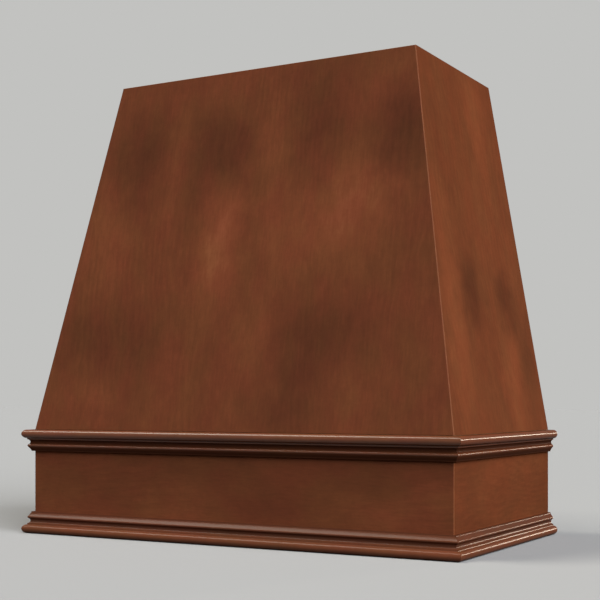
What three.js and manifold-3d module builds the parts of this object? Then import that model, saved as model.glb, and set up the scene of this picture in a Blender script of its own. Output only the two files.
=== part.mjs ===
// A tapered wooden cover for a kitchen range hood, hung on the wall over the cooker.
// The front and both sides lean in by the same amount above a straight apron, so every corner
// is a 45 degree mitre in plan. A profiled moulding runs round the top and the bottom of the apron.
// The cover is open below for a liner with its fan, open above for the duct, and open to the wall.
// Millimetres, +Z up, the front faces -Y. The origin is the centre of the underside of the whole.

import * as THREE from "three";
import { mergeVertices, toCreasedNormals } from "three/addons/utils/BufferGeometryUtils.js";
import Module from "manifold-3d";

// Outer form
const hoodWidth = 914.4; // across the outer faces of the apron, 36 in
const hoodDepth = 495.3; // from the wall to the outer face of the apron, 19 1/2 in
const hoodHeight = 914.4; // 36 in
const apronHeight = 209.55; // from the bottom edge to the break where the panels begin to lean, 8 1/4 in
const taperInset = 127; // how far the front and the sides come in from the break to the top, 5 in
const panelThickness = 19.05; // leaning panels, 3/4 in plywood
const apronThickness = 19.05; // apron boards, 3/4 in plywood
const easedEdge = 1.2; // flat planed along the outer mitred corners

// Moulding section: the nose is the wide end, the tail is the thin end
const mouldingHeight = 43.3;
const mouldingProjection = 19.05; // 3/4 in
const noseRadius = 8.6;
const filletProjection = 10.6; // the small flat between the nose and the cove
const filletHeight = 2.6;
const coveRadius = 5.3;
const coveDepth = 4.5;
const coveEnd = THREE.MathUtils.degToRad(59); // how far the cove turns past its deepest point
const beadRadius = 3;
const beadProjection = 10.3;
const beadStart = THREE.MathUtils.degToRad(63); // before the bead's widest point
const beadEnd = THREE.MathUtils.degToRad(36); // after it, where the bevel takes over
const bevelHollow = 0.4; // how far the bevel dips inside a straight line
const tailProjection = 4.7;
const tailHeight = 1.7;

// Frame inside
const railThickness = 19.05;
const railWidth = 63.5; // flat rails of the waist and the top
const hangingRailHeight = 88.9; // upright rails against the wall
const ledgerRecess = 25.4; // from the bottom edge up to the face that the liner's flange meets
const ledgerThickness = 19.05;
const ledgerWidth = 38.1;
const battenSize = 25.4; // square strips glued into the corners
const battenChamfer = 8;
const glueBlockLeg = 32;
const glueBlockLength = 110;
const glueBlockTip = 3; // flat left at the thin ends of a glue block
const glueLine = 0.3; // gap between glued faces

// Fixings
const studSpacing = 406.4; // wall studs at 16 in
const wallHoleRadius = 2.75;
const countersinkRadius = 5.5;
const pocketAngle = THREE.MathUtils.degToRad(15);
const pocketRadius = 4.75;
const pocketSeat = 15.5; // from the rail's end back to the step that the screw head sits on
const pocketSpacing = 44;
const screwBite = 15; // how far a pocket screw goes into the side board
const screwPoint = 3.6; // length of the tapered tip
const screwHeadRadius = 4.1;
const screwHeadHeight = 2.4;
const screwCrownRadius = 2.9; // flat top of the domed head
const screwRimHeight = 1.1; // straight edge below the dome
const screwShankRadius = 1.8;
const screwRecessRadius = 1.3;
const screwRecessDepth = 1.4;
const screwClearance = 0.3;

// Faceting
const arcSteps = 10; // straight steps along each arc of the moulding
const holeSides = 20;
const screwSides = 14;
const toolOverrun = 1; // how far a cutting tool runs past the face it starts from
const weldDistance = 1e-4;
const creaseAngle = THREE.MathUtils.degToRad(35); // sharper edges than this stay sharp in shading

// Levels and faces that follow
const halfWidth = hoodWidth / 2;
const wallY = (hoodDepth + glueLine + mouldingProjection) / 2;
const frontY = wallY - hoodDepth;
const slopeHeight = hoodHeight - apronHeight;
const panelRun = panelThickness * Math.hypot(1, taperInset / slopeHeight); // panel's level thickness
const mitreGap = glueLine / Math.SQRT2; // what a 45 degree end gives up to keep the glue line
const apronInnerX = halfWidth - apronThickness - glueLine;
const apronInnerY = frontY + apronThickness + glueLine;
const railFaceY = wallY - railThickness; // the face of the hanging rails that looks into the cover
const ledgerTop = ledgerRecess + ledgerThickness;
const waistUnder = apronHeight - railThickness;
const topUnder = hoodHeight - railThickness;
const topOpeningX = leaningInnerX(hoodHeight) - railWidth;
const topOpeningY = leaningInnerY(hoodHeight) + railWidth;
const sides = { right: 1, left: -1 };

const stainedBoard = { color: 0x6b3c26, roughness: 0.42, metalness: 0 };
const stainedMoulding = { color: 0x6e3c27, roughness: 0.36, metalness: 0 };
const barePlywood = { color: 0xcdb088, roughness: 0.7, metalness: 0 };
const barePoplar = { color: 0xc2a983, roughness: 0.72, metalness: 0 };
const platedSteel = { color: 0xb9a14f, roughness: 0.35, metalness: 1 };

const wasm = await Module();
wasm.setup();

// ---- The form at a height ----

// How far the front and the sides have come in.
function lean(z) {
  return (taperInset * (z - apronHeight)) / slopeHeight;
}

function upright() {
  return 0;
}

// The inside of the leaning shell, less the glue line.
function leaningInnerX(z) {
  return halfWidth - lean(z) - panelRun - glueLine;
}

function leaningInnerY(z) {
  return frontY + lean(z) + panelRun + glueLine;
}

// ---- Solids ----

// The same surface with one position for each corner, as cutting and mirroring need it.
function welded(geometry) {
  const bare = new THREE.BufferGeometry().setAttribute("position", geometry.attributes.position);
  bare.setIndex(geometry.index);
  return mergeVertices(bare, weldDistance);
}

// A piece that stands from low to high on an outline in plan that changes evenly with height.
function standing(outlineAt, low, high) {
  const flat = outlineAt(low).map(([x, y]) => new THREE.Vector2(x, y));
  const order = [...flat.keys()];
  if (THREE.ShapeUtils.isClockWise(flat)) {
    order.reverse();
  }
  const count = order.length;
  const ring = (z) => {
    const outline = outlineAt(z);
    return order.map((i) => new THREE.Vector3(...outline[i], z));
  };
  const triangles = [];
  for (const [a, b, c] of THREE.ShapeUtils.triangulateShape(order.map((i) => flat[i]), [])) {
    triangles.push(c, b, a, a + count, b + count, c + count);
  }
  for (let i = 0; i < count; i++) {
    const j = (i + 1) % count;
    triangles.push(i, j, j + count, i, j + count, i + count);
  }
  return new THREE.BufferGeometry().setFromPoints([...ring(low), ...ring(high)]).setIndex(triangles);
}

function extruded(points, depth) {
  const shape = new THREE.Shape(points.map(([x, y]) => new THREE.Vector2(x, y)));
  return new THREE.ExtrudeGeometry(shape, { depth, bevelEnabled: false });
}

// A turned solid from [radius, height] pairs that start and end on its axis, which is local Y.
function turned(pairs, segments) {
  const profile = pairs.map(([radius, height]) => new THREE.Vector2(radius, height));
  return new THREE.LatheGeometry(profile, segments);
}

function mirrored(geometry) {
  const copy = welded(geometry).scale(-1, 1, 1);
  copy.index.array.reverse();
  return copy;
}

function manifoldOf(geometry) {
  const { attributes, index } = welded(geometry);
  const vertProperties = attributes.position.array;
  const triVerts = new Uint32Array(index.array);
  return new wasm.Manifold(new wasm.Mesh({ numProp: 3, vertProperties, triVerts }));
}

function cut(geometry, tools) {
  const solid = tools.reduce((rest, tool) => rest.subtract(manifoldOf(tool)), manifoldOf(geometry));
  const mesh = solid.getMesh();
  const result = new THREE.BufferGeometry();
  result.setAttribute("position", new THREE.BufferAttribute(mesh.vertProperties, 3));
  return result.setIndex(new THREE.BufferAttribute(mesh.triVerts, 1));
}

// ---- Meshes ----

function addMesh(parent, name, geometry, finish) {
  const shaded = toCreasedNormals(welded(geometry), creaseAngle);
  const mesh = new THREE.Mesh(shaded, new THREE.MeshStandardMaterial(finish));
  mesh.name = name;
  parent.add(mesh);
  return mesh;
}

// A square board between two bounds on each axis.
function addBoard(parent, name, xs, ys, zs, finish) {
  const bounds = [xs, ys, zs];
  const size = bounds.map(([from, to]) => Math.abs(to - from));
  const centre = bounds.map(([from, to]) => (from + to) / 2);
  addMesh(parent, name, new THREE.BoxGeometry(...size), finish).position.set(...centre);
}

function addBothSides(parent, name, rightGeometry, finish) {
  addMesh(parent, `${name}_right`, rightGeometry, finish);
  addMesh(parent, `${name}_left`, mirrored(rightGeometry), finish);
}

// ---- Shell: three leaning panels on three apron boards, all mitred ----

// Plan outline of a front board, with a flat planed on each corner.
function frontOutline(leanAt, run) {
  return (z) => {
    const x = halfWidth - leanAt(z) - mitreGap;
    const y = frontY + leanAt(z);
    const right = [[x - easedEdge, y], [x - easedEdge / 2, y + easedEdge / 2], [x - run, y + run]];
    const left = right.map(([rx, ry]) => [-rx, ry]).reverse();
    return [...right, ...left];
  };
}

// Plan outline of a right-hand board, from the mitre to the wall.
function sideOutline(leanAt, run) {
  return (z) => {
    const x = halfWidth - leanAt(z);
    const y = frontY + leanAt(z) + mitreGap;
    const mitre = [[x - run, y + run], [x - easedEdge / 2, y + easedEdge / 2], [x, y + easedEdge]];
    return [...mitre, [x, wallY], [x - run, wallY]];
  };
}

function makeApron() {
  const apron = new THREE.Group();
  const front = standing(frontOutline(upright, apronThickness), 0, apronHeight);
  const side = standing(sideOutline(upright, apronThickness), 0, apronHeight);
  addMesh(apron, "apron_front", front, stainedBoard);
  addBothSides(apron, "apron_side", cut(side, pocketTools(lowerRail, "right")), stainedBoard);
  return apron;
}

function makeCanopy() {
  const canopy = new THREE.Group();
  const foot = apronHeight + glueLine;
  const front = standing(frontOutline(lean, panelRun), foot, hoodHeight);
  const side = standing(sideOutline(lean, panelRun), foot, hoodHeight);
  addMesh(canopy, "front_panel", front, stainedBoard);
  addBothSides(canopy, "side_panel", cut(side, pocketTools(upperRail, "right")), stainedBoard);
  return canopy;
}

// ---- Mouldings ----

// The section: x is how far it stands out from its back, y is the distance from the nose's flat end.
function mouldingSection() {
  const noseAxis = mouldingProjection - noseRadius;
  const noseEnd = Math.acos((filletProjection - noseAxis) / noseRadius);
  const filletEnd = noseRadius * (1 + Math.sin(noseEnd)) + filletHeight;
  const coveAxis = filletProjection - coveDepth + coveRadius;
  const coveStart = Math.acos((coveAxis - filletProjection) / coveRadius);
  const coveCentre = filletEnd + coveRadius * Math.sin(coveStart);
  const beadAxis = beadProjection - beadRadius;
  const beadCentre = coveCentre + coveRadius * Math.sin(coveEnd) + beadRadius * Math.sin(beadStart);
  const bevelTop = [beadAxis + beadRadius * Math.cos(beadEnd), beadCentre + beadRadius * Math.sin(beadEnd)];
  const bevelEnd = [tailProjection, mouldingHeight - tailHeight];
  const bevelMiddle = [(bevelTop[0] + bevelEnd[0]) / 2 - bevelHollow, (bevelTop[1] + bevelEnd[1]) / 2];

  const section = new THREE.Shape();
  section.moveTo(0, 0);
  section.lineTo(noseAxis, 0);
  section.absarc(noseAxis, noseRadius, noseRadius, -Math.PI / 2, noseEnd, false);
  section.lineTo(filletProjection, filletEnd);
  section.absarc(coveAxis, coveCentre, coveRadius, -Math.PI + coveStart, -Math.PI - coveEnd, true);
  section.absarc(beadAxis, beadCentre, beadRadius, -beadStart, beadEnd, false);
  section.quadraticCurveTo(...bevelMiddle, ...bevelEnd);
  section.lineTo(tailProjection, mouldingHeight);
  section.lineTo(0, mouldingHeight);
  return section;
}

// The section drawn out along Z. Each end is cut where its rule says, for a distance from the apron.
function mouldingRun(startAt, endAt) {
  const options = { depth: 1, bevelEnabled: false, curveSegments: arcSteps };
  const run = new THREE.ExtrudeGeometry(mouldingSection(), options);
  const { position } = run.attributes;
  for (let i = 0; i < position.count; i++) {
    const reach = position.getX(i) + glueLine;
    position.setZ(i, position.getZ(i) > 0 ? endAt(reach) : startAt(reach));
  }
  return run;
}

// Three mitred runs, nose up, or turned over on the middle line with the nose down.
function makeMouldings(name, level, turnedOver) {
  const ring = new THREE.Group();
  ring.position.z = level;
  ring.rotation.y = turnedOver ? Math.PI : 0;
  const corner = (reach) => halfWidth + reach - mitreGap;
  const front = mouldingRun((reach) => -corner(reach), corner);
  front.rotateZ(-Math.PI / 2).rotateY(Math.PI / 2).translate(0, frontY - glueLine, 0);
  const side = mouldingRun((reach) => frontY - reach + mitreGap, () => wallY);
  side.rotateX(-Math.PI / 2).translate(halfWidth + glueLine, 0, 0);

  addMesh(ring, `${name}_front`, front, stainedMoulding);
  addMesh(ring, `${name}_side_${turnedOver ? "left" : "right"}`, side, stainedMoulding);
  addMesh(ring, `${name}_side_${turnedOver ? "right" : "left"}`, mirrored(side), stainedMoulding);
  return ring;
}

// ---- Frame inside ----

// Strips laid flat round the inside of the apron, across the front and back along each side.
function addApronStrips(frame, name, width, zs, rearY) {
  const frontEnd = apronInnerY + width;
  addBoard(frame, `${name}_front`, [-apronInnerX, apronInnerX], [apronInnerY, frontEnd], zs, barePlywood);
  for (const [side, sign] of Object.entries(sides)) {
    const xs = [sign * (apronInnerX - width), sign * apronInnerX];
    addBoard(frame, `${name}_side_${side}`, xs, [frontEnd + glueLine, rearY - glueLine], zs, barePlywood);
  }
}

function makeLinerLedgers() {
  const ledgers = new THREE.Group();
  const zs = [ledgerRecess, ledgerTop];
  const rearY = wallY - ledgerWidth;
  addApronStrips(ledgers, "liner_ledger", ledgerWidth, zs, rearY);
  addBoard(ledgers, "liner_ledger_back", [-apronInnerX, apronInnerX], [rearY, wallY], zs, barePlywood);
  return ledgers;
}

function makeWaistRails() {
  const rails = new THREE.Group();
  addApronStrips(rails, "waist_rail", railWidth, [waistUnder, apronHeight], railFaceY);
  return rails;
}

// Rails that finish flush with the open top, with their outer edges bevelled to the leaning panels.
function makeTopRails() {
  const rails = new THREE.Group();
  const front = (z) => {
    const [x, y] = [leaningInnerX(z), leaningInnerY(z)];
    return [[-x, y], [x, y], [x, topOpeningY], [-x, topOpeningY]];
  };
  const side = (z) => {
    const [y0, y1] = [topOpeningY + glueLine, railFaceY - glueLine];
    return [[topOpeningX, y0], [leaningInnerX(z), y0], [leaningInnerX(z), y1], [topOpeningX, y1]];
  };
  addMesh(rails, "top_rail_front", standing(front, topUnder, hoodHeight), barePlywood);
  addBothSides(rails, "top_rail_side", standing(side, topUnder, hoodHeight), barePlywood);
  return rails;
}

// Section of a strip that fills a corner at [x, y], with its free edge planed off.
function stripOutline(x, y) {
  const [farX, farY] = [x - battenSize, y + battenSize];
  return [[x, y], [x, farY], [farX + battenChamfer, farY], [farX, farY - battenChamfer], [farX, y]];
}

// Strips glued up the front corners of the canopy and into all four corners of the apron.
function makeCornerStrips() {
  const strips = new THREE.Group();
  const alongCorner = (z) => stripOutline(leaningInnerX(z), leaningInnerY(z));
  const batten = standing(alongCorner, apronHeight + glueLine, topUnder - glueLine);
  addBothSides(strips, "corner_batten", batten, barePoplar);

  const [low, high] = [ledgerTop + glueLine, waistUnder - glueLine];
  const block = extruded(stripOutline(0, 0), high - low);
  addMesh(strips, "corner_block_front_right", block, barePoplar).position.set(apronInnerX, apronInnerY, low);
  const left = addMesh(strips, "corner_block_front_left", block, barePoplar);
  left.position.set(-apronInnerX, apronInnerY, low);
  left.rotation.z = -Math.PI / 2;

  const rearY = railFaceY - glueLine;
  for (const [side, sign] of Object.entries(sides)) {
    const xs = [sign * (apronInnerX - battenSize), sign * apronInnerX];
    addBoard(strips, `corner_block_rear_${side}`, xs, [rearY - battenSize, rearY], [low, high], barePoplar);
  }
  return strips;
}

// A wedge block with its back bevelled to the leaning panel and its foot on the waist rail.
function glueBlock() {
  const back = (height) => lean(apronHeight + glueLine + height);
  const section = [
    [back(0), 0],
    [back(0) + glueBlockLeg, 0],
    [back(0) + glueBlockLeg, glueBlockTip],
    [back(glueBlockLeg) + glueBlockTip, glueBlockLeg],
    [back(glueBlockLeg), glueBlockLeg],
  ];
  const block = extruded(section, glueBlockLength).translate(0, 0, -glueBlockLength / 2);
  return block.rotateX(Math.PI / 2).rotateZ(Math.PI / 2);
}

function makeGlueBlocks() {
  const blocks = new THREE.Group();
  blocks.position.z = apronHeight + glueLine;
  const footX = leaningInnerX(apronHeight);
  const footY = leaningInnerY(apronHeight);
  for (const [side, sign] of Object.entries(sides)) {
    const front = addMesh(blocks, `glue_block_front_${side}`, glueBlock(), barePoplar);
    front.position.set((sign * halfWidth) / 2, footY, 0);
    const beside = addMesh(blocks, `glue_block_side_${side}`, glueBlock(), barePoplar);
    beside.position.set(sign * footX, (frontY + wallY) / 2, 0);
    beside.rotation.z = (sign * Math.PI) / 2;
  }
  return blocks;
}

// ---- Hanging rails and their pocket screws ----

const lowerRail = { name: "lower", top: apronHeight, halfLengthAt: () => apronInnerX };
const upperRail = { name: "upper", top: hoodHeight, halfLengthAt: leaningInnerX };

// The cutter for a countersunk hole through a rail, for a screw from inside into a wall stud.
function wallHole(x, z) {
  const sink = countersinkRadius - wallHoleRadius;
  const profile = [
    [0, -railThickness - toolOverrun],
    [wallHoleRadius, -railThickness - toolOverrun],
    [wallHoleRadius, -sink],
    [countersinkRadius + toolOverrun, toolOverrun],
    [0, toolOverrun],
  ];
  return turned(profile, holeSides).rotateX(Math.PI).translate(x, railFaceY, z);
}

// Where the screws cross the joint at one end of a rail. Local Y points along the screw.
function pocketPlaces(rail, side) {
  const middle = rail.top - hangingRailHeight / 2;
  const heights = [middle - pocketSpacing / 2, middle + pocketSpacing / 2];
  return heights.map((z) => {
    const place = new THREE.Object3D();
    place.position.set(sides[side] * rail.halfLengthAt(z), wallY - railThickness / 2, z);
    place.rotation.z = -sides[side] * (Math.PI / 2 + pocketAngle);
    place.updateMatrix();
    return place;
  });
}

// The cutters for the pockets at one end: a wide slanted bore to the head's seat, then a narrow one.
function pocketTools(rail, side) {
  const toFace = railThickness / 2 / Math.sin(pocketAngle) + pocketRadius / Math.tan(pocketAngle);
  const mouth = toFace + toolOverrun;
  const bore = screwShankRadius + screwClearance;
  const bottom = screwBite + screwClearance;
  const profile = [
    [0, -mouth],
    [pocketRadius, -mouth],
    [pocketRadius, -pocketSeat],
    [bore, -pocketSeat],
    [bore, bottom],
    [0, bottom],
  ];
  return pocketPlaces(rail, side).map((place) => turned(profile, holeSides).applyMatrix4(place.matrix));
}

function pocketScrew() {
  const seat = -pocketSeat - screwClearance;
  const crown = seat - screwHeadHeight;
  const profile = [
    [0, crown + screwRecessDepth],
    [screwRecessRadius, crown + screwRecessDepth],
    [screwRecessRadius, crown],
    [screwCrownRadius, crown],
    [screwHeadRadius, seat - screwRimHeight],
    [screwHeadRadius, seat],
    [screwShankRadius, seat],
    [screwShankRadius, screwBite - screwPoint],
    [0, screwBite],
  ];
  return turned(profile, screwSides);
}

function makeHangingRail(rail) {
  const group = new THREE.Group();
  const under = rail.top - hangingRailHeight;
  const [halfUnder, halfTop] = [rail.halfLengthAt(under), rail.halfLengthAt(rail.top)];
  const face = [[-halfUnder, under], [halfUnder, under], [halfTop, rail.top], [-halfTop, rail.top]];
  const blank = extruded(face, railThickness).rotateX(Math.PI / 2).translate(0, wallY, 0);
  const middle = (under + rail.top) / 2;
  const wallHoles = [-studSpacing / 2, studSpacing / 2].map((x) => wallHole(x, middle));
  const pockets = Object.keys(sides).flatMap((side) => pocketTools(rail, side));
  addMesh(group, `hanging_rail_${rail.name}`, cut(blank, [...wallHoles, ...pockets]), barePlywood);

  for (const side of Object.keys(sides)) {
    pocketPlaces(rail, side).forEach((place, i) => {
      const screw = addMesh(group, `pocket_screw_${rail.name}_${side}_${i + 1}`, pocketScrew(), platedSteel);
      screw.position.copy(place.position);
      screw.rotation.copy(place.rotation);
    });
  }
  return group;
}

const hood = new THREE.Group();
hood.add(makeApron(), makeCanopy());
hood.add(makeMouldings("upper_moulding", apronHeight, false), makeMouldings("lower_moulding", 0, true));
hood.add(makeLinerLedgers(), makeWaistRails(), makeTopRails(), makeCornerStrips(), makeGlueBlocks());
hood.add(makeHangingRail(lowerRail), makeHangingRail(upperRail));

export default hood;
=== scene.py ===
"""A stained wooden cover for a kitchen range hood: leaning panels on an upright apron, with mouldings.

Every solid of the frame gets its finish here. Each board and strip is made again from its own solid with
its arrises eased, and keeps its size and place. Metres, +Z up, the front faces -Y and the wall is at +Y.
"""

import math

import bmesh
import bpy
from mathutils import Matrix, Vector


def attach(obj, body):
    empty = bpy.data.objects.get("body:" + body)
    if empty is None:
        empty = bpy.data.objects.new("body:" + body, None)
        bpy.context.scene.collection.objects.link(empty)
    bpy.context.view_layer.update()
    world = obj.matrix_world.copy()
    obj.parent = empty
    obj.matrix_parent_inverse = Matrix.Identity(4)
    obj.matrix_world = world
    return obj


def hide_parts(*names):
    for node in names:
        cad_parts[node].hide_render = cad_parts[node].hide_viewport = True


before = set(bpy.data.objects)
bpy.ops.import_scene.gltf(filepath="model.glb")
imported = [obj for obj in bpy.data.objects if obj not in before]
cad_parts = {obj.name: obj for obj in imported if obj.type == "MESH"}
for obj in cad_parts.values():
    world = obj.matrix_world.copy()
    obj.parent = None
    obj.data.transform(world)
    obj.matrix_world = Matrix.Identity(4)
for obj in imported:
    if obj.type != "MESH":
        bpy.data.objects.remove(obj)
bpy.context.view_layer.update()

# Camera, fitted to the straight edges in the photograph: level, with the horizon set low in the picture
# by a shift. Its lens and sensor are in mm.
CAMERA_PLACE = (1.2636, -2.2084, 0.2707)
CAMERA_LEVEL = math.radians(90)
CAMERA_TURN = math.radians(29.594)
CAMERA_LENS = 75.6
CAMERA_SENSOR = 36.0
CAMERA_SHIFT = (0.0132, 0.1657)

# Working sizes
WELD = 1e-6
FLAT_ANGLE = math.radians(0.5)
SHARP_ANGLE = math.radians(30)
SMOOTH_ANGLE = math.radians(40)
BOARD_EASE = 0.0007
STRIP_EASE = 0.0005
MOULDING_EASE = 0.00035
SCREW_EASE = 0.00015
EASE_STEPS = 3

# How far faces turn away from a board's outer face, as cosines: its mitres, and the flat on a corner
MITRE_TURN = (-0.9, -0.5)
CORNER_TURN = (0.5, 0.95)
DOWNWARD = -0.9  # a face looks down where the upward part of its normal is less

FRONT, RIGHT, LEFT = Vector((0, -1, 0)), Vector((1, 0, 0)), Vector((-1, 0, 0))
ALONG_X, ALONG_Y, ALONG_Z = Vector((1, 0, 0)), Vector((0, 1, 0)), Vector((0, 0, 1))

# Soft clouds of the stained figure on a leaning panel: place across the panel and height, how far they
# fade out each way, and how much lighter or darker they make the wood. Most places are spots picked in the
# photograph and worked out in metres through the fitted camera. The other values are chosen.
FRONT_CLOUDS = [
    (-0.257, 0.754, 0.095, 0.115, -0.36),
    (-0.067, 0.755, 0.085, 0.105, -0.36),
    (-0.105, 0.650, 0.075, 0.130, -0.13),
    (0.330, 0.765, 0.085, 0.100, -0.38),
    (0.300, 0.685, 0.100, 0.120, -0.05),
    (0.159, 0.378, 0.115, 0.110, -0.28),
    (0.256, 0.384, 0.120, 0.110, -0.08),
    (0.126, 0.256, 0.100, 0.090, -0.20),
    (0.150, 0.860, 0.120, 0.100, -0.12),
    (0.143, 0.716, 0.090, 0.160, -0.26),
    (-0.379, 0.390, 0.100, 0.085, -0.20),
    (-0.265, 0.387, 0.120, 0.100, -0.22),
    (-0.058, 0.576, 0.070, 0.175, 0.38),
    (0.222, 0.652, 0.130, 0.130, 0.26),
    (0.141, 0.610, 0.140, 0.140, 0.22),
    (0.063, 0.762, 0.070, 0.110, 0.16),
    (-0.325, 0.288, 0.095, 0.095, 0.12),
    (0.235, 0.295, 0.120, 0.090, 0.06),
    (0.059, 0.389, 0.070, 0.100, 0.14),
    (-0.331, 0.594, 0.075, 0.180, 0.18),
    (-0.179, 0.740, 0.045, 0.150, 0.12),
    (-0.064, 0.887, 0.120, 0.055, 0.06),
    (0.245, 0.848, 0.100, 0.060, 0.07),
]
SIDE_CLOUDS = [
    (-0.046, 0.470, 0.055, 0.090, -0.38),
    (0.135, 0.464, 0.055, 0.090, -0.42),
    (0.200, 0.370, 0.060, 0.100, -0.14),
    (0.147, 0.835, 0.080, 0.170, 0.24),
    (-0.128, 0.553, 0.055, 0.200, 0.12),
    (0.104, 0.288, 0.065, 0.170, 0.20),
    (-0.145, 0.356, 0.060, 0.180, 0.26),
]
CLOUD_EDGE = 1.25  # where a cloud has faded out, in its own widths
DRIFT_SCALE = 11.0
DRIFT = (0.07, 0.07, 0.10)  # how far the clouds are pulled out of shape

# Noise of the materials: features a metre along the grain, across it and through the board, then how much
# finer detail it has and how rough that is
PATTERNS = {
    "wander": ((2.2, 7.0, 6.0), 2.0, 0.5),
    "ripple": ((16.0, 14.0, 14.0), 2.0, 0.5),
    "flame": ((2.4, 5.0, 4.0), 2.0, 0.5),
    "ringed": ((3.0, 6.0, 5.0), 1.0, 0.5),
    "cloud": ((3.5, 8.0, 4.0), 2.0, 0.45),
    "hue": ((10.0, 18.0, 16.0), 2.0, 0.5),
    "mottle": ((24.0, 32.0, 30.0), 3.0, 0.6),
    "streak": ((10.0, 60.0, 50.0), 3.0, 0.6),
    "line": ((38.0, 260.0, 240.0), 3.0, 0.6),
    "fleck": ((170.0, 120.0, 200.0), 2.0, 0.5),
    "fibre": ((45.0, 1100.0, 700.0), 2.0, 0.6),
    "plywood_figure": ((4.0, 60.0, 20.0), 3.0, 0.5),
    "plywood_fibre": ((40.0, 900.0, 500.0), 2.0, 0.5),
    "ply_waver": ((14.0, 14.0, 200.0), 2.0, 0.5),
    "ply_speckle": ((700.0, 700.0, 900.0), 2.0, 0.5),
    "poplar_rings": ((3.0, 120.0, 80.0), 3.0, 0.5),
    "poplar_fibre": ((40.0, 900.0, 900.0), 2.0, 0.5),
    "zinc_tint": ((220.0, 220.0, 220.0), 2.0, 0.5),
}
SEED_STEP = (1.37, 2.11, 0.73)  # how far the next seed moves a board's noise


# ---- Node helpers ----

def add(tree, kind, inputs=None, **settings):
    """A new node with its settings, and its inputs linked or set."""
    node = tree.nodes.new(kind)
    for key, value in settings.items():
        setattr(node, key, value)
    for key, value in (inputs or {}).items():
        fill(tree, node.inputs[key], value)
    return node


def fill(tree, socket, value):
    """Links a socket to another, or sets its own value."""
    if isinstance(value, bpy.types.NodeSocket):
        tree.links.new(value, socket)
    else:
        socket.default_value = value


def maths(tree, operation, a, b=0.0, c=0.0):
    inputs = {0: a, 1: b}
    if operation == "MULTIPLY_ADD":
        inputs[2] = c
    return add(tree, "ShaderNodeMath", inputs, operation=operation).outputs[0]


def vector_maths(tree, operation, a, b=(0.0, 0.0, 0.0)):
    """The result of a vector operation, which is a number for a length or a dot product."""
    node = add(tree, "ShaderNodeVectorMath", {0: a, 1: b}, operation=operation)
    return node.outputs["Value" if operation in ("LENGTH", "DOT_PRODUCT") else "Vector"]


def around_zero(tree, value):
    """Noise around 0.5 moved to lie around 0."""
    return maths(tree, "SUBTRACT", value, 0.5)


def noise(tree, vector, pattern, distortion=0.0):
    """One of the noise patterns, around 0.5."""
    factors, detail, roughness = PATTERNS[pattern]
    inputs = {
        "Vector": vector_maths(tree, "MULTIPLY", vector, factors),
        "Scale": 1.0,
        "Detail": detail,
        "Roughness": roughness,
        "Distortion": distortion,
    }
    return add(tree, "ShaderNodeTexNoise", inputs).outputs["Fac"]


def stretched(tree, value, low, high, to_low=0.0, to_high=1.0):
    """value mapped smoothly from one range to another, held at the ends."""
    inputs = {"Value": value, "From Min": low, "From Max": high, "To Min": to_low, "To Max": to_high}
    return add(tree, "ShaderNodeMapRange", inputs, interpolation_type="SMOOTHSTEP", clamp=True).outputs[0]


def mixed(tree, factor, a, b):
    """A colour between a and b."""
    node = add(tree, "ShaderNodeMix", {"Factor": factor}, data_type="RGBA")
    for key, value in (("A_Color", a), ("B_Color", b)):
        fill(tree, next(socket for socket in node.inputs if socket.identifier == key), value)
    return next(socket for socket in node.outputs if socket.identifier == "Result_Color")


def ramp(tree, factor, stops):
    """Colours in order along factor, as [(position, colour)]."""
    node = add(tree, "ShaderNodeValToRGB", {"Fac": factor})
    elements = node.color_ramp.elements
    while len(elements) < len(stops):
        elements.new(1.0)
    for element, (position, colour) in zip(elements, stops):
        element.position = position
        element.color = colour
    return node.outputs["Color"]


def srgb(red, green, blue):
    """A linear colour from the 0 to 255 values of a screen."""
    def linear(level):
        share = level / 255
        return share / 12.92 if share <= 0.04045 else ((share + 0.055) / 1.055) ** 2.4
    return (linear(red), linear(green), linear(blue), 1.0)


def new_material(name):
    material = bpy.data.materials.new(name)
    material.use_nodes = True
    tree = material.node_tree
    tree.nodes.clear()
    shader = add(tree, "ShaderNodeBsdfPrincipled")
    add(tree, "ShaderNodeOutputMaterial", {"Surface": shader.outputs[0]})
    return material, tree, shader


def put(tree, shader, **inputs):
    """Links or sets inputs of a shader, with _ for the spaces in their names."""
    for key, value in inputs.items():
        fill(tree, shader.inputs[key.replace("_", " ")], value)


def bumped(tree, height, distance):
    inputs = {"Height": height, "Distance": distance, "Strength": 1.0}
    return add(tree, "ShaderNodeBump", inputs).outputs["Normal"]


def object_place(tree):
    return add(tree, "ShaderNodeTexCoord").outputs["Object"]


def board_vector(tree, axes, seed):
    """Places in a board's own axes, in metres: X along its grain, Y across it and Z through it."""
    inputs = {
        "Vector": object_place(tree),
        "Rotation": Matrix(axes).to_euler(),
        "Location": [step * seed for step in SEED_STEP],
    }
    return add(tree, "ShaderNodeMapping", inputs).outputs["Vector"]


# ---- Stained wood ----

# The stain's shades from its darkest to its lightest, as screen values, and what its tints multiply them by
STAIN_SHADES = [
    (0.0, (78, 45, 30)),
    (0.25, (91, 52, 34)),
    (0.5, (104, 59, 38)),
    (0.75, (118, 67, 43)),
    (1.0, (135, 79, 52)),
]
FRONT_TINTS = ((1.01, 0.97, 1.01), (0.99, 1.02, 1.01))
# The side boards and runs are tinted warmer than the front: painted warm light falling on the sides
WARM_LIT_SIDE_TINTS = ((1.01, 0.95, 0.90), (0.99, 0.98, 0.92))
TINT_RANGE = (0.3, 0.7)  # the stretch of the hue noise that goes from one tint to the other

# How the grain wanders across the board, and its rings: their pitch in radians a metre, how uneven that
# is, the stretch of noise over which they come in, and how much they show
WANDER_BY, RIPPLE_BY = 0.022, 0.008
RING_PITCH, RING_UNEVEN = 420.0, 60.0
RINGED_RANGE = (0.42, 0.62)
RING_SHARE = 0.03
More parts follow.
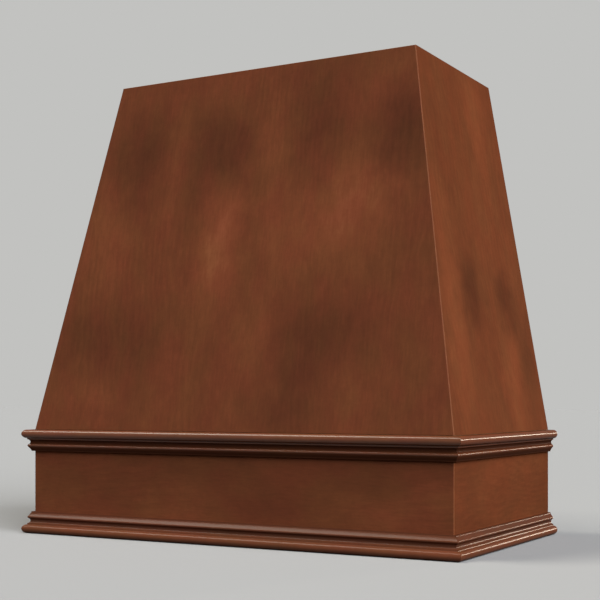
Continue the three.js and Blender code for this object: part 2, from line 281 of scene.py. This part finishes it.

# How much each pattern lightens and darkens the stain. Clouds count for less where some are listed.
CLOUD_SHARE, CLOUD_SHARE_AMONG_SET = 0.70, 0.30
MOTTLE_SHARE, STREAK_SHARE = 0.32, 0.14
LINE_SHARE, FLECK_SHARE, FIBRE_SHARE = 0.30, 0.12, 0.14
GRAIN_OF_FIBRE, GRAIN_OF_LINE = 0.6, 0.4
PLAIN_TONE = 0.5

# The contrast of the larger patterns
APRON_FRONT_CONTRAST, APRON_SIDE_CONTRAST, TRIM_CONTRAST = 1.1, 0.9, 0.5
WEAR_AND_HIGHLIGHT = 0.28  # how much lighter the stain is on an outer corner: partly wear where it is rubbed, partly a painted highlight along the edge

# The darkest colour of the shade painted into the hollows of the mouldings
HOLLOW_SHADE = srgb(50, 25, 15)
DEEP = 0.005  # how far out from the board a moulding's painted shade is still at its darkest
# Painted shade in the hollows of the mouldings, darker at the upper level whose hollows face down: how dark
# it is at most, how far out the stain has its plain shade again, and how far out their faces are dull
HOLLOWS = {"upper": (0.85, 0.0115, 0.0095), "lower": (0.40, 0.0180, 0.0)}

# Height of the grain under the varnish, the weight of the varnish's coat and the coat's roughness
BOARD_SATIN = (0.00003, 0.008, 0.50)
FRONT_MOULDING_SATINS = {"upper": (0.00001, 0.50, 0.14), "lower": (0.00001, 0.18, 0.14)}
SIDE_MOULDING_SATIN = (0.00001, 0.16, 0.14)
HOLLOW_SATIN = (0.00001, 0.03, 0.30)
ARRIS_SATIN = (0.00001, 0.08, 0.30)
STAIN_ROUGHNESS = 0.5
GRAIN_ROUGHNESS = 0.2  # how much rougher any of the woods is where its grain stands out


def clouded(tree, tone, across, clouds):
    """tone with soft patches laid over it. across is the room axis that their first number runs along."""
    place = object_place(tree)
    inputs = {"Vector": place, "Scale": DRIFT_SCALE, "Detail": 2.0}
    drift = add(tree, "ShaderNodeTexNoise", inputs).outputs["Color"]
    drift = vector_maths(tree, "SUBTRACT", drift, (0.5, 0.5, 0.5))
    place = vector_maths(tree, "ADD", place, vector_maths(tree, "MULTIPLY", drift, DRIFT))
    for first, height, wide, tall, strength in clouds:
        centre = across * first + ALONG_Z * height
        away = vector_maths(tree, "SUBTRACT", place, centre)
        away = vector_maths(tree, "MULTIPLY", away, across / wide + ALONG_Z / tall)
        distance = vector_maths(tree, "LENGTH", away)
        patch = stretched(tree, distance, 0.0, CLOUD_EDGE, 1.0, 0.0)
        tone = maths(tree, "MULTIPLY_ADD", patch, strength, tone)
    return tone


def ring_lines(tree, place, waved):
    """Faint rings around 0, fading in and out along the board."""
    across = add(tree, "ShaderNodeSeparateXYZ", {"Vector": waved}).outputs["Y"]
    uneven = maths(tree, "MULTIPLY", noise(tree, place, "flame"), RING_UNEVEN)
    rings = maths(tree, "SINE", maths(tree, "MULTIPLY_ADD", across, RING_PITCH, uneven))
    shown = stretched(tree, noise(tree, place, "ringed"), *RINGED_RANGE)
    return maths(tree, "MULTIPLY", rings, shown)


def wood_figure(tree, place, contrast):
    """Light and dark of close-grained veneer around 0, and the fine grain alone around 0.5."""
    ripple = maths(tree, "MULTIPLY", noise(tree, place, "ripple"), RIPPLE_BY)
    sideways = maths(tree, "MULTIPLY_ADD", noise(tree, place, "wander"), WANDER_BY, ripple)
    shift = add(tree, "ShaderNodeCombineXYZ", {"Y": sideways}).outputs[0]
    waved = vector_maths(tree, "ADD", place, shift)
    line = noise(tree, waved, "line")
    fibre = noise(tree, waved, "fibre")
    shares = (
        (noise(tree, place, "mottle"), MOTTLE_SHARE * contrast),
        (noise(tree, waved, "streak"), STREAK_SHARE * contrast),
        (line, LINE_SHARE),
        (noise(tree, place, "fleck"), FLECK_SHARE),
        (fibre, FIBRE_SHARE),
    )
    tone = maths(tree, "MULTIPLY", ring_lines(tree, place, waved), RING_SHARE)
    for pattern, share in shares:
        tone = maths(tree, "MULTIPLY_ADD", around_zero(tree, pattern), share, tone)
    grain = maths(tree, "MULTIPLY_ADD", fibre, GRAIN_OF_FIBRE, maths(tree, "MULTIPLY", line, GRAIN_OF_LINE))
    return tone, grain


def stain(tree, tone, tint):
    """The stain's colour at tone, with its screen values multiplied by tint."""
    stops = []
    for position, shade in STAIN_SHADES:
        stops.append((position, srgb(*(level * share for level, share in zip(shade, tint)))))
    return ramp(tree, tone, stops)


def shaded_hollows(tree, colour, out, back, most, plain):
    """colour with shade painted into a moulding's hollows. Its back is that far along out."""
    distance = vector_maths(tree, "DOT_PRODUCT", object_place(tree), out)
    painted_shade = stretched(tree, distance, back + DEEP, back + plain, most, 0.0)
    return mixed(tree, painted_shade, colour, HOLLOW_SHADE)


def stained_wood(
    name, axes, seed, across=None, clouds=(), contrast=1.0, satin=BOARD_SATIN, lighter=0.0, hollow_shade=None,
):
    """Medium brown stain over close grain, under varnish.

    hollow says where a moulding's back is, how dark the shade painted into its hollows is and how far out
    the stain is plain.
    """
    material, tree, shader = new_material(name)
    place = board_vector(tree, axes, seed)
    figure, grain = wood_figure(tree, place, contrast)
    broad = (CLOUD_SHARE_AMONG_SET if clouds else CLOUD_SHARE) * contrast
    cloud = around_zero(tree, noise(tree, place, "cloud"))
    tone = maths(tree, "MULTIPLY_ADD", cloud, broad, PLAIN_TONE + lighter)
    tone = maths(tree, "ADD", tone, figure)
    if clouds:
        tone = clouded(tree, tone, across, clouds)
    redder, browner = WARM_LIT_SIDE_TINTS if "side" in name else FRONT_TINTS
    hue = stretched(tree, noise(tree, place, "hue"), *TINT_RANGE)
    colour = mixed(tree, hue, stain(tree, tone, redder), stain(tree, tone, browner))
    # Shade painted into the hollows of a moulding
    if hollow_shade:
        colour = shaded_hollows(tree, colour, axes[2], *hollow_shade)
    relief, weight, roughness = satin
    put(tree, shader, Base_Color=colour, Normal=bumped(tree, grain, relief), Specular_IOR_Level=0.0)
    put(tree, shader, Roughness=maths(tree, "MULTIPLY_ADD", grain, GRAIN_ROUGHNESS, STAIN_ROUGHNESS))
    put(tree, shader, Coat_Weight=weight, Coat_Roughness=roughness)
    return material


# ---- Bare wood and screws ----

PLY = 0.00146  # the thickness of one ply
PLY_WAVER = 0.0006
PLY_EDGE = (0.42, 0.58)  # the part of a ply over which its shade gives way to the next one's
ON_FACE = (0.8, 0.9)  # how squarely a surface faces out of the board where the plies give way to its face
LIGHT_PLY = (srgb(214, 188, 146), srgb(196, 165, 120))
DARK_PLY = (srgb(176, 138, 94), srgb(140, 103, 66))
PLYWOOD_FACE = [(0.25, srgb(196, 166, 124)), (0.5, srgb(208, 181, 141)), (0.8, srgb(219, 196, 160))]
POPLAR = [(0.2, srgb(168, 148, 104)), (0.5, srgb(197, 172, 132)), (0.8, srgb(212, 192, 156))]
POPLAR_DISTORTION = 0.4

# How much the fibre shows in the tone, the roughness, and the height of the fibre
PLYWOOD_FIBRE = (0.35, 0.58, 0.00006)
POPLAR_FIBRE = (0.30, 0.60, 0.00008)

ZINC = [(0.3, srgb(196, 170, 92)), (0.5, srgb(186, 161, 79)), (0.7, srgb(172, 128, 92))]
ZINC_TINTS = (0.3, 0.7)
ZINC_ROUGHNESS = (0.28, 0.42)


def unvarnished(tree, shader, fibre, roughness, relief):
    put(tree, shader, Roughness=maths(tree, "MULTIPLY_ADD", fibre, GRAIN_ROUGHNESS, roughness))
    put(tree, shader, Normal=bumped(tree, fibre, relief))


def ply_edges(tree, place):
    """The colour of plywood where it is cut across its plies."""
    through = add(tree, "ShaderNodeSeparateXYZ", {"Vector": place}).outputs["Z"]
    depth = maths(tree, "MULTIPLY_ADD", noise(tree, place, "ply_waver"), PLY_WAVER, through)
    layer = maths(tree, "DIVIDE", maths(tree, "PINGPONG", depth, PLY), PLY)
    speckle = noise(tree, place, "ply_speckle")
    light, dark = mixed(tree, speckle, *LIGHT_PLY), mixed(tree, speckle, *DARK_PLY)
    return mixed(tree, stretched(tree, layer, *PLY_EDGE), dark, light)


def bare_plywood(name, axes, seed):
    material, tree, shader = new_material(name)
    place = board_vector(tree, axes, seed)
    share, roughness, relief = PLYWOOD_FIBRE
    fibre = noise(tree, place, "plywood_fibre")
    figure = noise(tree, place, "plywood_figure")
    tone = maths(tree, "MULTIPLY_ADD", around_zero(tree, fibre), share, figure)
    normal = add(tree, "ShaderNodeTexCoord").outputs["Normal"]
    facing = maths(tree, "ABSOLUTE", vector_maths(tree, "DOT_PRODUCT", normal, axes[2]))
    on_face = stretched(tree, facing, *ON_FACE)
    colour = mixed(tree, on_face, ply_edges(tree, place), ramp(tree, tone, PLYWOOD_FACE))
    put(tree, shader, Base_Color=colour)
    unvarnished(tree, shader, fibre, roughness, relief)
    return material


def bare_poplar(name, axes, seed):
    material, tree, shader = new_material(name)
    place = board_vector(tree, axes, seed)
    share, roughness, relief = POPLAR_FIBRE
    fibre = noise(tree, place, "poplar_fibre")
    rings = noise(tree, place, "poplar_rings", POPLAR_DISTORTION)
    tone = maths(tree, "MULTIPLY_ADD", around_zero(tree, fibre), share, rings)
    put(tree, shader, Base_Color=ramp(tree, tone, POPLAR))
    unvarnished(tree, shader, fibre, roughness, relief)
    return material


def yellow_zinc(name):
    material, tree, shader = new_material(name)
    tint = noise(tree, object_place(tree), "zinc_tint")
    put(tree, shader, Base_Color=ramp(tree, tint, ZINC), Metallic=1.0)
    put(tree, shader, Roughness=stretched(tree, tint, *ZINC_TINTS, *ZINC_ROUGHNESS))
    return material


# ---- Solids made again with eased arrises ----

def solid_of(node):
    """A node's solid with one vertex at each corner and one face on each plane."""
    solid = bmesh.new()
    solid.from_mesh(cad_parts[node].data)
    bmesh.ops.remove_doubles(solid, verts=solid.verts, dist=WELD)
    bmesh.ops.dissolve_limit(solid, angle_limit=FLAT_ANGLE, verts=solid.verts, edges=solid.edges)
    solid.normal_update()
    return solid


def broad_normal(node):
    """The way that a board's largest face looks."""
    solid = solid_of(node)
    normal = max(solid.faces, key=lambda face: face.calc_area()).normal.copy()
    solid.free()
    return normal


def axes_of(out, along):
    """Unit vectors of a board: along its grain, across it and out of its face."""
    grain = (along - along.dot(out) * out).normalized()
    return grain, out.cross(grain), out


def in_a_joint(face, out):
    """True for a mitre, which faces back and sideways from the board's outer face."""
    low, high = MITRE_TURN
    return low < face.normal.dot(out) < high


def is_arris(edge, out):
    sharp = len(edge.link_faces) == 2 and edge.is_convex and edge.calc_face_angle() > SHARP_ANGLE
    return sharp and not any(in_a_joint(face, out) for face in edge.link_faces)


def eased(node, out, ease, materials, pick):
    """Makes a piece that stands for a node: the same solid with its arrises rounded.

    pick gives the number of a face's material. out is where the outer face looks, or 0 without mitres.
    """
    solid = solid_of(node)
    for face in solid.faces:
        face.material_index = pick(face)
    edges = [edge for edge in solid.edges if is_arris(edge, out)]
    bmesh.ops.bevel(
        solid, geom=edges, offset=ease, offset_type="OFFSET", segments=EASE_STEPS, profile=0.5,
        affect="EDGES", clamp_overlap=True, material=-1,
    )
    mesh = bpy.data.meshes.new(node)
    solid.to_mesh(mesh)
    solid.free()
    mesh.shade_smooth()
    mesh.set_sharp_from_angle(angle=SMOOTH_ANGLE)
    piece = bpy.data.objects.new(node + "_finished", mesh)
    bpy.context.scene.collection.objects.link(piece)
    for material in materials:
        mesh.materials.append(material)
    even = piece.modifiers.new("Even shading", "WEIGHTED_NORMAL")
    even.keep_sharp = True
    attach(piece, "root")
    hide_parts(node)


def first_material(face):
    return 0


# ---- Pieces ----

MOULDING_RUNS = {"front": (FRONT, ALONG_X), "side_right": (RIGHT, ALONG_Y), "side_left": (LEFT, ALONG_Y)}
MOULDING_SEED = 10
STRIP_SEED = 20
PLYWOOD_STRIPS = ("liner_ledger", "waist_rail", "top_rail", "hanging_rail")
POPLAR_UPRIGHTS = ("corner_batten", "corner_block")
POPLAR_WEDGES = "glue_block"
SCREWS = "pocket_screw"


def shell_board(node, along, seed, stained_foot=False, across=None, clouds=(), contrast=1.0):
    """A board of the shell: stained outside, bare inside and on its edges, lighter on its outer corners
    from wear and a painted highlight.
    """
    out = broad_normal(node)
    axes = axes_of(out, along)
    materials = [
        stained_wood(node + "_stained", axes, seed, across, clouds, contrast),
        bare_plywood(node + "_bare", axes, seed),
        # the outer corners: stain lightened for wear and a painted highlight
        stained_wood(
            node + "_arris", axes, seed, contrast=TRIM_CONTRAST, satin=ARRIS_SATIN, lighter=WEAR_AND_HIGHLIGHT,
        ),
    ]
    stained, bare, worn_and_highlit = range(3)

    def pick(face):
        turned = face.normal.dot(out)
        low, high = CORNER_TURN
        if low < turned < high:
            return worn_and_highlit
        foot = stained_foot and face.normal.z < DOWNWARD
        return stained if turned >= high or foot else bare

    eased(node, out, BOARD_EASE, materials, pick)


def moulding(level, side, seed):
    """A run of the moulding, with shade painted into its hollows, and a duller varnish in them at the upper
    level.
    """
    node = f"{level}_moulding_{side}"
    out, along = MOULDING_RUNS[side]
    axes = axes_of(out, along)
    back = min(out.dot(vertex.co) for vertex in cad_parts[node].data.vertices)
    most, plain, dull = HOLLOWS[level]
    look = {"contrast": TRIM_CONTRAST, "hollow_shade": (back, most, plain)}
    satin = FRONT_MOULDING_SATINS[level] if side == "front" else SIDE_MOULDING_SATIN
    materials = [stained_wood(node + "_stained", axes, seed, satin=satin, **look)]
    if dull:
        materials.append(stained_wood(node + "_hollow", axes, seed, satin=HOLLOW_SATIN, **look))

    def pick(face):
        return int(dull > 0 and out.dot(face.calc_center_median()) < back + dull)

    eased(node, out, MOULDING_EASE, materials, pick)


def strip(node, along, seed, make):
    """A strip of the frame inside, of one bare wood. make gives its material."""
    axes = axes_of(broad_normal(node), along)
    eased(node, Vector(), STRIP_EASE, [make(node + "_bare", axes, seed)], first_material)


def make_shell():
    shell_board("front_panel", ALONG_Z, 1, across=ALONG_X, clouds=FRONT_CLOUDS)
    shell_board("side_panel_right", ALONG_Z, 2, across=ALONG_Y, clouds=SIDE_CLOUDS)
    shell_board("side_panel_left", ALONG_Z, 3)
    shell_board("apron_front", ALONG_X, 4, stained_foot=True, contrast=APRON_FRONT_CONTRAST)
    shell_board("apron_side_right", ALONG_Y, 5, stained_foot=True, contrast=APRON_SIDE_CONTRAST)
    shell_board("apron_side_left", ALONG_Y, 6, stained_foot=True, contrast=APRON_SIDE_CONTRAST)


def make_mouldings():
    runs = [(level, side) for level in HOLLOWS for side in MOULDING_RUNS]
    for seed, (level, side) in enumerate(runs, MOULDING_SEED):
        moulding(level, side, seed)


def make_strips():
    for seed, node in enumerate(sorted(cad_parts), STRIP_SEED):
        along = ALONG_Y if "side" in node else ALONG_X
        if node.startswith(PLYWOOD_STRIPS):
            strip(node, along, seed, bare_plywood)
        elif node.startswith(POPLAR_UPRIGHTS):
            strip(node, ALONG_Z, seed, bare_poplar)
        elif node.startswith(POPLAR_WEDGES):
            strip(node, along, seed, bare_poplar)


def make_screws():
    zinc = yellow_zinc("yellow_zinc")
    for node in sorted(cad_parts):
        if node.startswith(SCREWS):
            eased(node, Vector(), SCREW_EASE, [zinc], first_material)


# ---- Stage ----

FLOOR_HALF = 30.0
FLOOR_LEVEL = -0.0005
FLOOR_CORNERS = ((-1, -1), (1, -1), (1, 1), (-1, 1))
BACKDROP = srgb(194, 194, 192)
FLOOR_COLOUR = (0.389, 0.399, 0.410, 1.0)  # under these lamps it looks like the backdrop
FLOOR_BOUNCE = (0.06, 0.06, 0.06, 1.0)  # the floor's colour for the light that it throws back
FILL_COLOUR = (1.0, 1.0, 1.0, 1.0)
FILL = 0.06  # strength of the even light from all round

WHITE = (1.0, 1.0, 1.0)
MILD = (1.0, 0.93, 0.80)
WARM = (1.0, 0.87, 0.70)
LAMP_DISTANCE = 5
# Distant round softboxes: how far round from the front towards the right, how high above the floor and how
# wide, in degrees, then their strength and colour
LAMPS = {
    "key": (63, 36, 60, 4.45, WHITE),
    "left": (297, 54, 26, 1.85, MILD),
    "behind_right": (162, 9, 6, 0.42, WARM),
}


def shows_background(tree):
    """1 for the rays that show the background: the camera's, and those in metal and glass."""
    rays = add(tree, "ShaderNodeLightPath").outputs
    mirrored = maths(tree, "MAXIMUM", rays["Is Glossy Ray"], rays["Is Transmission Ray"])
    return maths(tree, "MAXIMUM", rays["Is Camera Ray"], mirrored)


def lit_and_seen(tree, lit, seen):
    """One shader for the light that falls on the object, another for what the background looks like."""
    inputs = {0: shows_background(tree), 1: lit.outputs[0], 2: seen.outputs[0]}
    return add(tree, "ShaderNodeMixShader", inputs).outputs[0]


def make_floor():
    corners = [(x * FLOOR_HALF, y * FLOOR_HALF, FLOOR_LEVEL) for x, y in FLOOR_CORNERS]
    mesh = bpy.data.meshes.new("floor")
    mesh.from_pydata(corners, [], [range(len(corners))])
    floor = bpy.data.objects.new("floor", mesh)
    bpy.context.scene.collection.objects.link(floor)
    material = bpy.data.materials.new("floor")
    material.use_nodes = True
    tree = material.node_tree
    tree.nodes.clear()
    lit = add(tree, "ShaderNodeBsdfDiffuse", {"Color": FLOOR_BOUNCE})
    seen = add(tree, "ShaderNodeBsdfDiffuse", {"Color": FLOOR_COLOUR})
    add(tree, "ShaderNodeOutputMaterial", {"Surface": lit_and_seen(tree, lit, seen)})
    mesh.materials.append(material)


def make_world():
    world = bpy.data.worlds.new("studio")
    world.use_nodes = True
    tree = world.node_tree
    tree.nodes.clear()
    lit = add(tree, "ShaderNodeBackground", {"Color": FILL_COLOUR, "Strength": FILL})
    seen = add(tree, "ShaderNodeBackground", {"Color": BACKDROP, "Strength": 1.0})
    add(tree, "ShaderNodeOutputWorld", {"Surface": lit_and_seen(tree, lit, seen)})
    bpy.context.scene.world = world


def soft_light(name, around, up, wide, strength, colour):
    lamp = bpy.data.lights.new(name, "SUN")
    lamp.angle = math.radians(wide)
    lamp.energy = strength
    lamp.color = colour
    light = bpy.data.objects.new(name, lamp)
    bpy.context.scene.collection.objects.link(light)
    turn, rise = math.radians(around), math.radians(up)
    level = Vector((math.sin(turn), -math.cos(turn), 0))
    towards = level * math.cos(rise) + ALONG_Z * math.sin(rise)
    light.location = towards * LAMP_DISTANCE
    light.rotation_euler = towards.to_track_quat("Z", "Y").to_euler()


def make_lamps():
    for name, settings in LAMPS.items():
        soft_light(name, *settings)


def make_camera():
    data = bpy.data.cameras.new("camera")
    data.lens = CAMERA_LENS
    data.sensor_width = CAMERA_SENSOR
    data.shift_x, data.shift_y = CAMERA_SHIFT
    camera = bpy.data.objects.new("camera", data)
    bpy.context.scene.collection.objects.link(camera)
    camera.location = CAMERA_PLACE
    camera.rotation_euler = (CAMERA_LEVEL, 0, CAMERA_TURN)
    bpy.context.scene.camera = camera


make_shell()
make_mouldings()
make_strips()
make_screws()
make_floor()
make_world()
make_lamps()
make_camera()
bpy.context.scene.view_settings.view_transform = "Standard"
